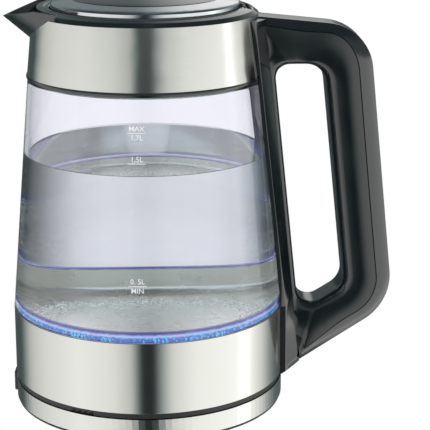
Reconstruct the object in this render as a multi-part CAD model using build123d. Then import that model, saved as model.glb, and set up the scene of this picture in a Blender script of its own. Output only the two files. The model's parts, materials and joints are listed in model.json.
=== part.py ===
"""Cordless glass kettle on a power base, in millimetres.

Origin: on the kettle's axis, in the plane that the feet stand on. +Z is up, +X points to the
handle and -X to the spout. Each function makes one sub-part, and the list at the end writes them.
"""
from build123d import *
from math import atan2, cos, degrees, radians, sin, sqrt, tan
import os

os.makedirs("parts", exist_ok=True)

# ---- driving dimensions ---------------------------------------------------------------------
foot_radius = 77.5            # outside of the glass at its foot, and of the power base
base_height = 13.6            # top of the power base
band_height = 40.3            # steel band round the heater chamber
glass_height = 131.2          # visible height of the glass
glass_head_radius = 66.0      # outside of the glass at its upper end
glass_wall = 2.6
collar_height = 33.3          # steel collar round the neck
collar_foot_radius = 66.1
collar_head_radius = 62.6
sheet = 0.6                   # steel sheet of band, collar and base ring
plastic_wall = 2.2
rim_inner_radius = 53.2       # mouth of the neck, which the lid drops into
lid_gap = 0.6                 # lid to neck, all round
handle_width = 28.0
handle_edge = 5.0             # rounding along the handle
grip_lean = 0.107             # the grip leans out by this much for each millimetre downwards
spout_reach = 15.0            # spout tip beyond the collar
connector_radius = 15.6       # hub of the 360 degree connector

gap = 0.1                     # between pieces that are fixed together
clear = 0.35                  # between pieces that move past each other
pin_fit = 0.05                # radial, hinge pins

# ---- heights that follow --------------------------------------------------------------------
foot_proud = 1.0
ring_bottom = 2.7
jug_bottom = base_height + 0.5
band_bottom = jug_bottom + 3.0
band_top = band_bottom + band_height
glass_top = band_top + gap + glass_height
trim_height = 2.4
collar_bottom = glass_top + trim_height + 0.2
collar_top = collar_bottom + collar_height
rim_top = collar_top + 3.5
lid_hinge_x = rim_inner_radius + 0.8
lid_hinge_z = rim_top - 2.0
band_radius = foot_radius + 0.1
dish_floor = band_top - 10.0


# ---- helpers --------------------------------------------------------------------------------
def turned(*outline):
    """A ring or disc: a closed outline of (radius, height) points turned about the axis."""
    return revolve(Plane.XZ * make_face(Polyline(*outline, close=True)), Axis.Z, 360)


def tube(outer, inner, bottom, top):
    return turned((inner, bottom), (outer, bottom), (outer, top), (inner, top))


def disc(radius, bottom, top):
    return Pos(0, 0, bottom) * Cylinder(radius, top - bottom, align=(Align.CENTER, Align.CENTER, Align.MIN))


def block(x0, x1, half_y, z0, z1):
    """A box from x0 to x1 and z0 to z1, centred across the handle."""
    return Pos((x0 + x1) / 2, 0, (z0 + z1) / 2) * Box(x1 - x0, 2 * half_y, z1 - z0)


def slab(face, half_y):
    """An outline in the handle's plane, given thickness across it."""
    return extrude(Plane.XZ * face, half_y, both=True)


def around(shape, count, start=0.0):
    return [Rot(0, 0, start + 360.0 / count * i) * shape for i in range(count)]


def group(shapes):
    return Compound(children=[s.solid() for s in shapes])


def without(shape, *cutters):
    for cutter in cutters:
        shape = shape - cutter
    return shape


def collar_radius(z):
    """Outside of the steel collar at a height."""
    share = (z - collar_bottom) / collar_height
    return collar_foot_radius + share * (collar_head_radius - collar_foot_radius)


def glass_radius(z):
    share = (z - band_top) / (glass_top - band_top)
    return foot_radius + share * (glass_head_radius - foot_radius)


def body_radius(z):
    """Outside of the jug at a height."""
    if z <= band_top:
        return band_radius
    return glass_radius(z) if z < glass_top else collar_radius(z)


# ---- power base -----------------------------------------------------------------------------
feet_circle = foot_radius - 15.0
foot_radius_rubber = 6.0
foot_seat = 2.0
base_screw_circle = foot_radius - 35.5
plate_thickness = 2.2
flange_radius = connector_radius + 7.0
shutter_wall = 1.2
shutter_inner = connector_radius + clear
shutter_outer = shutter_inner + shutter_wall
connector_top = base_height + 16.4
groove_radii = (5.6, 9.2, 12.8)      # middle radius of each contact groove in the hub
groove_width = 1.9
contact_width = 0.9
gland_angle = 178.0
gland_reach = 1.6                    # how far the cord outlet stands out of the base ring
gland_width = 11.0
gland_bottom = 2.8
gland_top = 13.2
cord_bore = 3.4


def gland_block(grow=0.0):
    """The cord outlet's outside, through the rim of the base."""
    length = 9.0
    height = gland_top - gland_bottom + 2 * grow
    body = Box(length + 2 * grow, gland_width + 2 * grow, height)
    body = fillet(body.edges().filter_by(Axis.Z), 1.5)
    centre = foot_radius + gland_reach - length / 2
    return Rot(0, 0, gland_angle) * Pos(centre, 0, (gland_top + gland_bottom) / 2) * body


def base_bottom_plate():
    edge = foot_radius - 0.7
    shell = turned((0, foot_proud), (edge, foot_proud), (edge, ring_bottom - gap),
                   (edge - 2.2, ring_bottom - gap), (edge - 2.2, 5.4), (edge - 4.2, 5.4),
                   (edge - 4.2, foot_proud + plate_thickness), (0, foot_proud + plate_thickness))
    seat = disc(foot_radius_rubber + gap, 0.5, foot_seat)
    for cutter in [seat] + around(Pos(feet_circle, 0, 0) * seat, 4, 45):
        shell = shell - cutter
    for hole in around(Pos(base_screw_circle, 0, 0) * disc(1.7, 0, 5), 3, 60):
        shell = shell - hole
    return shell - gland_block(gap)


def base_steel_ring():
    ring = tube(foot_radius, foot_radius - sheet, ring_bottom, base_height)
    return ring - gland_block(gap)


def base_top_plate():
    edge = foot_radius - sheet - gap
    under = base_height - plate_thickness
    wall = edge - 2.0
    plate = turned((shutter_outer + clear, under), (wall, under), (wall, 5.6), (edge, 5.6),
                   (edge, base_height - 0.4), (edge - 0.4, base_height),
                   (shutter_outer + clear, base_height))
    for post in around(Pos(base_screw_circle, 0, 0) * tube(4.0, 1.5, foot_proud + plate_thickness + gap,
                                                            under + 0.5), 3, 60):
        plate = plate + post
    return plate - gland_block(gap)


def base_screws():
    head = disc(3.0, foot_proud - 0.8, foot_proud - gap)
    screw = Pos(base_screw_circle, 0, 0) * (head + disc(1.45, foot_proud - 0.8, under_plate() - 0.6))
    return group(around(screw, 3, 60))


def under_plate():
    return base_height - plate_thickness


def rubber_feet():
    """Four feet near the edge, and one in the middle under the hub's load."""
    foot = disc(foot_radius_rubber, 0, foot_seat - gap)
    return group([foot] + around(Pos(feet_circle, 0, 0) * foot, 4, 45))


def cord_gland():
    body = gland_block()
    bore = Pos(foot_radius + gland_reach, 0, 7.6) * Rot(0, 90, 0) * Cylinder(cord_bore, 12)
    inside = disc(foot_radius + gland_reach + 1, gland_bottom - 1, gland_top + 1)
    return (body & inside) - Rot(0, 0, gland_angle) * bore


def connector_core():
    under = under_plate() - gap
    hub = turned((0, 5.0), (flange_radius, 5.0), (flange_radius, under), (connector_radius, under),
                 (connector_radius, connector_top - 1), (connector_radius - 1, connector_top),
                 (0, connector_top))
    hub = hub - disc(2.6, base_height, connector_top + 1)
    for radius in groove_radii:
        half = groove_width / 2
        hub = hub - tube(radius + half, radius - half, base_height, connector_top + 1)
    return hub


def contact_rings():
    """Brass rings at the foot of the hub's grooves."""
    half = groove_width / 2 - gap
    return group([tube(r + half, r - half, base_height + gap, base_height + 4.0) for r in groove_radii])


def connector_shutter():
    """Turning guard ring round the hub."""
    foot = base_height + 7.0
    return turned((shutter_inner, foot), (shutter_outer, foot), (shutter_outer, connector_top - 1.5),
                  (shutter_outer - 0.4, connector_top - 1.1), (shutter_inner, connector_top - 1.1))


def shutter_spring():
    wire = 0.4
    turn = Helix(pitch=1.9, height=5.2, radius=connector_radius + 0.15 + wire)
    coil = sweep(Plane(turn @ 0, z_dir=turn % 0) * Circle(wire), path=turn)
    return Pos(0, 0, base_height + 0.7) * coil


# ---- heater chamber -------------------------------------------------------------------------
control_radius = shutter_outer + 5.0
control_top = jug_bottom + 21.4
boss_circle = foot_radius - 8.5
cover_floor = jug_bottom + 2.3
pad_height = 0.4
element_radius = foot_radius - 31.5
element_tube = 3.4
spreader_top = dish_floor - 0.8 - gap
spreader_bottom = spreader_top - 3.6
board_bottom = band_top - 5.4
clamp_top = board_bottom - gap


def bottom_cover():
    outer = band_radius - sheet - gap
    cover = turned((control_radius + gap, jug_bottom), (foot_radius - 0.6, jug_bottom),
                   (foot_radius - 0.6, band_bottom - gap), (outer - 0.2, band_bottom - gap),
                   (outer - 0.2, band_bottom + 5), (outer - 2.2, band_bottom + 5),
                   (outer - 2.2, cover_floor), (control_radius + gap, cover_floor))
    pad = Pos(foot_radius - 20, 0, 0) * disc(4.0, jug_bottom - pad_height, jug_bottom + 0.5)
    for foot in around(pad, 3, 0):
        cover = cover + foot
    for hole in around(Pos(boss_circle, 0, 0) * disc(1.6, 10, 20), 3, 60):
        cover = cover - hole
    for recess in around(Pos(boss_circle, 0, 0) * disc(3.2, 10, jug_bottom + 0.9), 3, 60):
        cover = cover - recess
    return cover - block(foot_radius - 17.5, foot_radius + 12.5, switch_half_width + 2, band_bottom,
                         band_bottom + 20)


def bottom_cover_screws():
    head = disc(2.9, jug_bottom - 0.2, jug_bottom + 0.8)
    screw = Pos(boss_circle, 0, 0) * (head + disc(1.4, jug_bottom, jug_bottom + 14))
    return group(around(screw, 3, 60))


def lower_band():
    band = tube(band_radius, band_radius - sheet, band_bottom, band_top)
    return band - block(foot_radius - 7.5, foot_radius + 12.5, switch_half_width - 3, module_low - 2,
                        module_high - 1)


def clamp_ring():
    """Ring that presses the light board and the dish against the glass seat."""
    outer = band_radius - sheet - 0.3
    under_dish = dish_floor - 0.8 - gap
    wall_inner = foot_radius - 5.3
    ring = turned((boss_circle - 4.5, under_dish - 2.8), (outer, under_dish - 2.8), (outer, clamp_top),
                  (wall_inner, clamp_top), (wall_inner, under_dish), (boss_circle - 4.5, under_dish))
    for boss in around(Pos(boss_circle, 0, 0) * tube(3.6, 1.45, cover_floor + gap, under_dish - 1), 3, 60):
        ring = ring + boss
    return ring


def heater_dish():
    floor = dish_floor
    wall = foot_radius - 6.8
    return turned((0, floor - 0.8), (wall - 4.2, floor - 0.8), (wall - 1.0, floor + 0.4),
                  (wall, floor + 3.4), (wall, band_top + 4.1), (wall - 0.8, band_top + 4.1),
                  (wall - 0.8, floor + 3.6), (wall - 1.7, floor + 1.2), (wall - 4.4, floor),
                  (0, floor))


def heat_spreader():
    return disc(foot_radius - 19.5, spreader_bottom, spreader_top)


def heating_element():
    """Sheathed element bent to an open ring, with its two cold ends turned down."""
    height = spreader_bottom - gap - element_tube
    half_gap = 28.0
    arc = CenterArc((0, 0, height), element_radius, half_gap, 360 - 2 * half_gap)
    ring = sweep(Plane(arc @ 0, z_dir=arc % 0) * Circle(element_tube), path=arc)
    for angle in (half_gap, -half_gap):
        x, y = element_radius * cos(radians(angle)), element_radius * sin(radians(angle))
        ring = ring + Pos(x, y, 0) * disc(element_tube, height - 10, height)
        ring = ring + Pos(x, y, height) * Sphere(element_tube)
    return ring


def control_unit():
    """360 degree socket with its thermostat housing."""
    pocket_top = connector_top + 1.4
    pocket = shutter_outer + clear
    unit = turned((0, pocket_top), (pocket, pocket_top), (pocket, jug_bottom + 0.6),
                  (control_radius, jug_bottom + 0.6), (control_radius, control_top - 1),
                  (control_radius - 1, control_top), (0, control_top))
    return unit


def control_contacts():
    """Pin and ring blades that reach down into the hub's grooves."""
    pocket_top = connector_top + 1.4 - gap
    pin = disc(2.0, connector_top - 8, pocket_top)
    half = contact_width / 2
    blades = [tube(r + half, r - half, connector_top - 8, pocket_top) for r in groove_radii]
    return group([pin] + blades)


def bimetal_disc():
    return Pos(-10, 0, 0) * turned((0, control_top + 1.0), (6.5, control_top + gap),
                                   (6.5, control_top + 0.5), (0, control_top + 1.4))


def light_board():
    outer = band_radius - sheet - 0.4
    board = tube(outer, foot_radius - 6.6, board_bottom, board_bottom + 1.2)
    return board


def light_leds():
    led = Pos(foot_radius - 3.6, 0, board_bottom + 1.2 + gap + 0.45) * Box(2.0, 3.0, 0.9)
    return group(around(led, 16, 11.25))


def light_ring():
    """Clear acrylic ring: the glass's seat, and what carries the light up inside it."""
    foot = band_top - 2.0
    inner = foot_radius - 6.7
    seat = band_top - 0.9
    edge = foot_radius - glass_wall - 0.5
    return turned((inner, foot), (band_radius - sheet - 0.3, foot), (band_radius - sheet - 0.3, seat),
                  (edge, seat), (edge, band_top + 4.4), (edge - 0.8, band_top + 5.0),
                  (inner + 0.1, band_top + 5.0), (inner, seat))


def bottom_seal():
    edge = foot_radius - glass_wall
    return tube(band_radius - sheet - 0.2, edge - 0.2, band_top - 0.8, band_top)


def glass_body():
    inside = glass_wall
    foot, head = band_top + gap, glass_top
    glass = turned((foot_radius - inside, foot), (foot_radius, foot), (glass_radius(head), head),
                   (glass_radius(head) - inside, head))
    rims = glass.edges().filter_by(GeomType.CIRCLE)
    return fillet(rims, 0.5)


# ---- neck, spout and lid seat ---------------------------------------------------------------
liner_gap = 0.15
spout_angle = atan2(1.0, 1.22)         # the keel climbs at this angle
lip_slope = 0.295                      # the lips climb towards the neck by this much
keel_foot_z = collar_top - 14.5        # where the keel leaves the collar
spout_root_half = 39.5                 # half-width of the spout's wedge, well inside the neck
spout_root_x = -48.0
liner_depth = sheet + liner_gap + 2.0  # the liner's inner face, in from the collar's outside
filter_low = keel_foot_z - 1.0
filter_high = collar_top - 6.0


def keel_x(z):
    return -(collar_radius(keel_foot_z) - 0.3) - (z - keel_foot_z) / tan(spout_angle)


tip_x = -(collar_radius(keel_foot_z) + spout_reach)
tip_z = keel_foot_z + (keel_x(keel_foot_z) - tip_x) * tan(spout_angle)


def spout_section(z, inset, grow):
    """Plan of the spout's wedge at a height: two straight cheeks and a round nose."""
    half = spout_root_half - inset + grow
    nose = (keel_x(z) + 1.6 * inset - 1.3 * grow, 0)
    face = make_face(Polyline((spout_root_x, -half), nose, (spout_root_x, half), close=True))
    share = (z - keel_foot_z) / (rim_top + 4 - keel_foot_z)
    radius = max(2.0, 9.0 - 6.5 * share - inset / 2)
    return Pos(0, 0, z) * fillet(face.vertices().sort_by(Axis.X)[0], radius)


def spout_wedge(low, high, inset=0.0, grow=0.0):
    faces = [spout_section(z, inset, grow).faces()[0] for z in (low, high)]
    return loft(faces, ruled=True)


def above_lips():
    """Everything over the plane of the spout's lips."""
    tilt = degrees(atan2(lip_slope, 1.0))
    slab_height = 40.0
    return Pos(tip_x, 0, tip_z) * Rot(0, -tilt, 0) * Pos(0, 0, slab_height / 2) * Box(
        120, 120, slab_height)


def neck_inside():
    """Space inside the liner, as high as the rim's underside."""
    low, high = glass_top - 5, collar_top - 0.5
    wall = sheet + liner_gap + 2.0
    return turned((0, low), (collar_radius(low) - wall, low), (collar_radius(high) - wall, high),
                  (rim_inner_radius, high), (rim_inner_radius, rim_top + 8), (0, rim_top + 8))


def top_seal():
    wall = glass_wall - 0.4
    return tube(glass_radius(glass_top) - 0.3, glass_radius(glass_top) - wall, glass_top + gap / 2,
                glass_top + 0.9)


def collar_trim_ring():
    z0, z1 = glass_top + gap / 2, collar_bottom - gap
    outer = glass_head_radius + 0.7
    inner = glass_radius(glass_top) - 0.2
    middle = (z0 + z1) / 2
    return turned((inner, z0), (outer - 0.4, z0), (outer, middle - 0.3), (outer, middle + 0.3),
                  (outer - 0.3, z1), (inner - 3.6, z1), (inner - 3.6, z0 + 1.0), (inner, z0 + 1.0))


def upper_collar():
    z0, z1 = collar_bottom, collar_top
    sleeve = turned((collar_foot_radius - sheet, z0), (collar_foot_radius, z0),
                    (collar_head_radius, z1), (collar_head_radius - sheet, z1))
    sleeve = sleeve - spout_wedge(keel_foot_z - 8, rim_top + 4, grow=0.2)
    return without(sleeve, latch_slot(), steam_bore(0.6))


def spout_rim():
    """Neck moulding: liner, rim and spout in one."""
    z0, z1 = collar_bottom, collar_top
    outside = collar_radius(z0) - sheet - liner_gap, collar_radius(z1) - sheet - liner_gap
    ledge = collar_top - 3.0
    body = turned((outside[0] - 2.0, z0 + gap), (outside[0], z0 + gap), (outside[1], z1 + 0.05),
                  (collar_head_radius - 0.05, z1 + 0.05), (collar_head_radius - 2.5, z1 + 1.95),
                  (collar_head_radius - 2.9, z1 + 2.15), (rim_inner_radius + 0.5, rim_top),
                  (rim_inner_radius, rim_top - 0.5), (rim_inner_radius, ledge),
                  (rim_inner_radius + 3, ledge), (collar_radius(ledge - 3) - liner_depth, ledge - 2.7))
    wedge = spout_wedge(keel_foot_z - 8, rim_top + 4)
    shell = (wedge - neck_inside()) - above_lips() - disc(collar_head_radius - 6.5, rim_top - 3, rim_top + 9)
    shell = shell - disc(90, rim_top + 0.1, rim_top + 9)
    channel = spout_wedge(keel_foot_z + 3.0, rim_top + 5, inset=plastic_wall)
    bridge = disc(collar_head_radius - 2.6, collar_top, rim_top + 9)
    moulding = (body + shell) - (channel - bridge)
    return without(moulding, latch_slot(), steam_bore(), hinge_pocket(), hinge_bore())


def filter_window(inner, outer, half_angle, low, high):
    """A piece of the neck's wall on the spout side, between two radii."""
    ring = turned((collar_radius(low) - outer, low), (collar_radius(low) - inner, low),
                  (collar_radius(high) - inner, high), (collar_radius(high) - outer, high))
    reach = 90.0
    wedge = make_face(Polyline((0, 0), (-reach, -reach * tan(radians(half_angle))),
                               (-reach, reach * tan(radians(half_angle))), close=True))
    return ring & Pos(0, 0, low - 1) * extrude(wedge, high - low + 2)


def spout_filter_frame():
    low, high = filter_low, filter_high
    frame = filter_window(liner_depth + 0.3, liner_depth + 2.5, 27, low, high)
    return frame - filter_window(liner_depth - 1, liner_depth + 4, 23, low + 2, high - 2)


def spout_filter_mesh():
    low, high = filter_low, filter_high
    return filter_window(liner_depth + 1.2, liner_depth + 1.6, 22.8, low + 2 + gap, high - 2 - gap)


# ---- lid ------------------------------------------------------------------------------------
lid_radius = rim_inner_radius - lid_gap
plug_radius = rim_inner_radius - 3.2
plug_floor = rim_top - 13.5
centre_radius = rim_inner_radius - 11.6
pin_radius = 1.2
knuckle_radius = 2.2
knuckle_half = 7.0
pocket_half = knuckle_half + 3.0       # leaves room for the spring beside the knuckle
arm_top = 1.2                          # top of the hinge arm over the rim
pin_half = pocket_half + 3.5


def lid_cap():
    z = rim_top
    cap = turned((lid_radius, z + 0.1), (lid_radius, z + 1.9), (lid_radius - 0.4, z + 2.5),
                 (lid_radius - 1.5, z + 3.1), (centre_radius + 0.1, z + 4.6),
                 (centre_radius + 0.1, z + 3.8), (lid_radius - 1.9, z + 2.3),
                 (lid_radius - 0.7, z + 1.7), (lid_radius - 0.7, z + 0.1))
    return cap - block(lid_radius - 6, lid_radius + 3, knuckle_half + gap, z - 1, z + arm_top + gap)


def lid_centre():
    """Glossy disc with a low crown."""
    edge, crown, under = rim_top + 4.9, rim_top + 7.6, rim_top + 1.6 + gap
    rim = centre_radius - 0.5
    sweep_radius = (rim ** 2 + (crown - edge) ** 2) / (2 * (crown - edge))
    dome = Pos(0, 0, crown - sweep_radius) * Sphere(sweep_radius)
    body = turned((0, under), (centre_radius, under), (centre_radius, edge - 0.5), (rim, edge),
                  (rim, crown + 1), (0, crown + 1))
    return body & dome


def lid_frame():
    """Carrier plate under the cap, with the hinge knuckle."""
    plate = tube(lid_radius - 0.8, 12.0, rim_top + 0.1, rim_top + 1.6)
    barrel = Pos(lid_hinge_x, 0, lid_hinge_z) * Rot(90, 0, 0) * Cylinder(knuckle_radius, 2 * knuckle_half)
    arm = block(lid_hinge_x - 8, lid_hinge_x - 0.5, knuckle_half, lid_hinge_z + 0.4, rim_top + arm_top)
    bore = Pos(lid_hinge_x, 0, lid_hinge_z) * Rot(90, 0, 0) * Cylinder(pin_radius + pin_fit, 40)
    return (plate + arm + barrel) - bore


def lid_inner_cover():
    """Hollow plug that fills the mouth, open at the top under the carrier plate."""
    top = rim_top - gap
    pan = turned((0, plug_floor), (plug_radius - 2, plug_floor), (plug_radius, plug_floor + 2),
                 (plug_radius, top), (plug_radius - 1.8, top), (plug_radius - 1.8, plug_floor + 1.8),
                 (0, plug_floor + 1.8))
    seat = tube(plug_radius + 1, plug_radius - 0.8, plug_floor + 5, plug_floor + 8)
    window = block(plug_radius - 6, plug_radius + 5, latch_half + 1, plug_floor + 0.5, plug_floor + 3.5)
    arm_cut = block(plug_radius - 5, plug_radius + 6, knuckle_half + clear, lid_hinge_z - 2.8, rim_top + 3)
    for hole in around(Pos(plug_radius - 18, 0, 0) * disc(1.6, plug_floor - 1, plug_floor + 3), 3, 60):
        pan = pan - hole
    return without(pan, seat, window, arm_cut)


def lid_seal():
    inner = plug_radius - 0.8 + gap
    z = plug_floor + 5 + gap
    return turned((inner, z), (plug_radius + 0.6, z), (plug_radius + 1.7, z + 0.9),
                  (plug_radius + 1.7, z + 1.3), (plug_radius + 0.6, z + 2.8), (inner, z + 2.8))


def lid_screws():
    head = disc(2.8, plug_floor - 1.0, plug_floor - gap)
    screw = Pos(plug_radius - 18, 0, 0) * (head + disc(1.4, plug_floor - 1.0, rim_top - 0.3))
    return group(around(screw, 3, 60))


def hinge_pocket():
    """Room in the rim for the lid's knuckle."""
    arm_swing = knuckle_radius + 1.1       # how far back the hinge arm reaches when the lid is open
    return block(rim_inner_radius - 3, lid_hinge_x + arm_swing, pocket_half, lid_hinge_z - knuckle_radius - 0.7,
                 rim_top + 3)


def hinge_bore():
    return Pos(lid_hinge_x, 0, lid_hinge_z) * Rot(90, 0, 0) * Cylinder(pin_radius + 0.02, 2 * pin_half)


def lid_hinge_pin():
    return Pos(lid_hinge_x, 0, lid_hinge_z) * Rot(90, 0, 0) * Cylinder(pin_radius, 2 * pin_half - 0.4)


# ---- handle ---------------------------------------------------------------------------------
strip_thickness = 2.5
strip_half = handle_width / 2 - 1.8
opening_left_x = foot_radius - 4.8                 # a point on the side of the opening by the jug
opening_left_z = collar_bottom - 8.6
opening_top = collar_bottom + 4.7
left_lean = 0.106
top_slope = 0.1
foot_slope = 0.642
top_x, top_height = opening_left_x - 7.7, collar_top - 3.0      # a point on the handle's top
heel_x, heel_height = opening_left_x + 5.5, jug_bottom + 1.9    # a point on its underside
grip_outer_x, grip_outer_z = opening_left_x + 56.1, collar_bottom - 17.7
grip_thickness = 27.0
lower_arm = 29.9                                   # height of the lower arm, straight up
switch_half_width = handle_width / 2 - 4.5
module_low = jug_bottom + 20.9
module_high = module_low + 7.0


def strip_x(z):
    """Face of the cover strip, towards the opening."""
    return opening_left_x + (opening_left_z - z) * left_lean


def bracket_x(z):
    return strip_x(z) - strip_thickness


def grip_x(z, inset=0.0):
    return grip_outer_x - inset + (grip_outer_z - z) * grip_lean


def top_z(x, inset=0.0):
    return top_height - inset - top_slope * (x - top_x)


def foot_z(x, raised=0.0):
    return heel_height + raised + foot_slope * (x - heel_x)


def top_corner(inset, drop):
    """Where the top line meets the grip's outer line."""
    a, b = grip_x(0, inset), grip_lean
    x = (a - b * (top_height - drop + top_slope * top_x)) / (1 - b * top_slope)
    return x, top_z(x, drop)


def foot_corner(inset, raised):
    a, b = grip_x(0, inset), grip_lean
    x = (a - b * (heel_height + raised - foot_slope * heel_x)) / (1 + b * foot_slope)
    return x, foot_z(x, raised)


def rounded(points, radii):
    """A closed outline with its corners rounded, where a radius is given."""
    face = make_face(Polyline(*points, close=True))
    for (x, z), radius in zip(points, radii):
        if radius:
            corner = min(face.vertices(), key=lambda v: abs(v.X - x) + abs(v.Y - z))
            face = fillet(corner, radius)
    return face


def lower_opening_z(x):
    """Underside of the opening: the top of the lower arm."""
    return foot_z(x, lower_arm)


def outer_outline(inset, drop, raised, radii):
    """Outside of the handle, moved inwards by the three distances."""
    left = top_x - 15
    corner_top, corner_foot = top_corner(inset, drop), foot_corner(inset, raised)
    return rounded([(left, top_z(left, drop)), corner_top, corner_foot, (left, foot_z(left, raised))],
                   (0, radii[0], radii[1], 0))


def opening_outline(grow=0.0):
    """The hand hole, in the handle's plane."""
    right = grip_thickness + 0.2 + grow
    x2 = grip_x(opening_top, right)
    a = grip_x(0, right)
    x3 = (a - grip_lean * (lower_opening_z(0) - grow)) / (1 + grip_lean * foot_slope)
    x1 = strip_x(opening_top) - grow - 30
    left_foot_x = strip_x(band_top) - grow - 30
    points = [(x1, opening_top + grow), (x2, opening_top + grow),
              (x3, lower_opening_z(x3) - grow), (left_foot_x, lower_opening_z(left_foot_x) - grow)]
    return rounded(points, (0, 11.0, 12.0, 0))


def column_side(offset=0.0):
    """Everything on the jug's side of the bracket's outer face."""
    low, high = -20.0, 260.0
    return make_face(Polyline((0, low), (bracket_x(low) + offset, low), (bracket_x(high) + offset, high),
                              (0, high), close=True))


def handle_solid(shrink):
    """Handle as a C, from the bracket's face round the grip; shrink makes its hollow."""
    radii = (28.0 - shrink, 31.0 - shrink)
    face = outer_outline(shrink, shrink, shrink * 1.19, radii) - opening_outline(shrink)
    face = face - column_side(gap + shrink)
    return face


def handle_block():
    half = handle_width / 2
    body = slab(handle_solid(0.0), half)
    long_edges = [e for e in body.edges() if abs(abs(e.center().Y) - half) < 0.01
                  and e.center().X > bracket_x(e.center().Z) + 1.5]
    return fillet(long_edges, handle_edge)


def handle_shell():
    hollow = slab(handle_solid(plastic_wall + 0.3), handle_width / 2 - plastic_wall - 0.3)
    return without(handle_block() - hollow, latch_slot(), handle_screw_holes(), steam_bore(), switch_room())


def parting(step):
    """Space inside the line where the two handle shells meet."""
    face = outer_outline(8.5 + step, 4.6 + step, 10.1 + step, (24.0, 24.0))
    return slab(face, 40)


def handle_outer_shell():
    return (handle_shell() - parting(0.0)) - button_hole()


def handle_inner_shell():
    return handle_shell() & parting(0.3)


def wedge_section(z, body_half, inset=0.0):
    """Bracket in plan: sides by the jug, then slanted cheeks to the narrow front."""
    radius = body_radius(z)
    half = body_half - inset
    side_x = sqrt(radius ** 2 - body_half ** 2) + 3.0
    front = bracket_x(z) - inset
    return Pos(0, 0, z) * make_face(Polyline(
        (45, -half), (side_x, -half), (front, -strip_half + inset), (front, strip_half - inset),
        (side_x, half), (45, half), close=True))


def bracket_loft(inset=0.0):
    low = loft([wedge_section(10, 15.3, inset).faces()[0], wedge_section(band_top, 18.5, inset).faces()[0]],
               ruled=True)
    high = loft([wedge_section(band_top, 18.5, inset).faces()[0],
                 wedge_section(collar_top + 5, 27.8, inset).faces()[0]], ruled=True)
    return low + high


def jug_envelope(offset):
    """The jug's outside, moved out by an offset."""
    o = offset
    z_trim = glass_top
    return turned((0, 0), (band_radius + o, 0), (band_radius + o, band_top + 0.5),
                  (glass_radius(glass_top) + o, z_trim - 1), (glass_head_radius + 0.7 + o, z_trim - 1),
                  (glass_head_radius + 0.7 + o, collar_bottom + 1),
                  (collar_radius(collar_bottom + 1) + o, collar_bottom + 1),
                  (collar_head_radius + o, collar_top), (collar_head_radius + o, collar_top + 0.1),
                  (collar_head_radius - 2.5 + o, collar_top + 2), (rim_inner_radius, rim_top),
                  (0, rim_top))


def handle_bracket():
    trim = slab(outer_outline(0, 0, 0, (28.0, 31.0)), 40)
    body = (bracket_loft() & trim) - jug_envelope(0.15)
    hollow = bracket_loft(plastic_wall) & block(20, grip_outer_x, 40, switch_room_top + 2.5, collar_top - 15.6)
    body = body - hollow
    return without(body, latch_slot(), switch_room(), switch_bore(), handle_screw_holes(), steam_bore())


def handle_cover_strip():
    """Narrow cover on the bracket's front, between the two arms."""
    z0, z1 = band_top - 6.4, opening_top
    face = make_face(Polyline((bracket_x(z0) + gap, z0), (strip_x(z0), z0), (strip_x(z1), z1),
                              (bracket_x(z1) + gap, z1), close=True))
    strip = slab(face, strip_half - 0.6)
    keep = slab(opening_outline(-gap), 40)
    strip = strip & keep
    return strip


def handle_screw_positions():
    upper, lower, apart = opening_top + 7.0, band_bottom + 27.9, handle_width / 4
    return [(bracket_x(z), y, z) for z in (upper, lower) for y in (-apart, apart)]


def handle_screw_holes():
    """Clearance holes through bracket and arm ends, with seats for the heads."""
    holes = []
    for x, y, z in handle_screw_positions():
        turn = Pos(x, y, z) * Rot(0, 90, 0)
        holes.append(turn * (Cylinder(1.6, 12) + Pos(0, 0, -4.2) * Cylinder(2.9, 6)))
    return group(holes)


def handle_screws():
    screws = []
    for x, y, z in handle_screw_positions():
        turn = Pos(x, y, z) * Rot(0, 90, 0)
        screws.append(turn * (Pos(0, 0, -1.8) * Cylinder(2.6, 1.0) + Pos(0, 0, 1.5) * Cylinder(1.5, 6.4)))
    return group(screws)


# ---- lid release ----------------------------------------------------------------------------
latch_half = 4.0
latch_low = rim_top - 16.4
latch_high = rim_top - 12.6
latch_tip_x = plug_radius + 0.9
button_x0 = opening_left_x + 7.3
button_x1 = button_x0 + 24.0
button_half = handle_width / 2 - 6.5
bar_low = opening_top + 10.0           # the slider's long bar, deep in the arm
bar_high = bar_low + 3.5
link_x = button_x0 - 7.5
bar_end_x = button_x0 + 13.0
wedge_x = bar_end_x - 1.0              # front of the button's 45 degree wedge
spring_x = wedge_x + 7.5
housing_top = bar_low - 0.6
housing_half = handle_width / 2 - plastic_wall - 2.8


def latch_slot():
    """Slot that the latch slider runs in, through neck, collar and bracket."""
    return block(45, link_x + 1, latch_half + 0.5, latch_low - 0.5, latch_high + 0.5)


def lid_latch_slider():
    """Nose towards the lid, a step down, and a bar with the ramp that the button's wedge pushes."""
    side = slab(make_face(Polyline((latch_tip_x, latch_low), (link_x, latch_low), (link_x, bar_low),
                                   (bar_end_x, bar_low), (bar_end_x, bar_high), (link_x + 4, bar_high),
                                   (link_x + 4, latch_high), (latch_tip_x, latch_high), close=True)), latch_half)
    ramp = wedge_x - 3.0 + clear * sqrt(2) + 0.1
    low, high = bar_low - 1, bar_high + 1
    foot = ramp - (bar_high - 0.5 - low)
    back = link_x + 9.5
    window = slab(make_face(Polyline((back, low), (foot, low), (foot + high - low, high), (back, high),
                                     close=True)), latch_half - 1.4)
    return side - window


def button_plate(half, x0, x1, low, high):
    """A plate that follows the handle's top, between two depths under it."""
    face = make_face(Polyline((x0, top_z(x0) + low), (x1, top_z(x1) + low), (x1, top_z(x1) + high),
                              (x0, top_z(x0) + high), close=True))
    return slab(face, half)


def button_hole():
    return button_plate(button_half + clear, button_x0 - clear, button_x1 + clear, -8, 4)


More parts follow.
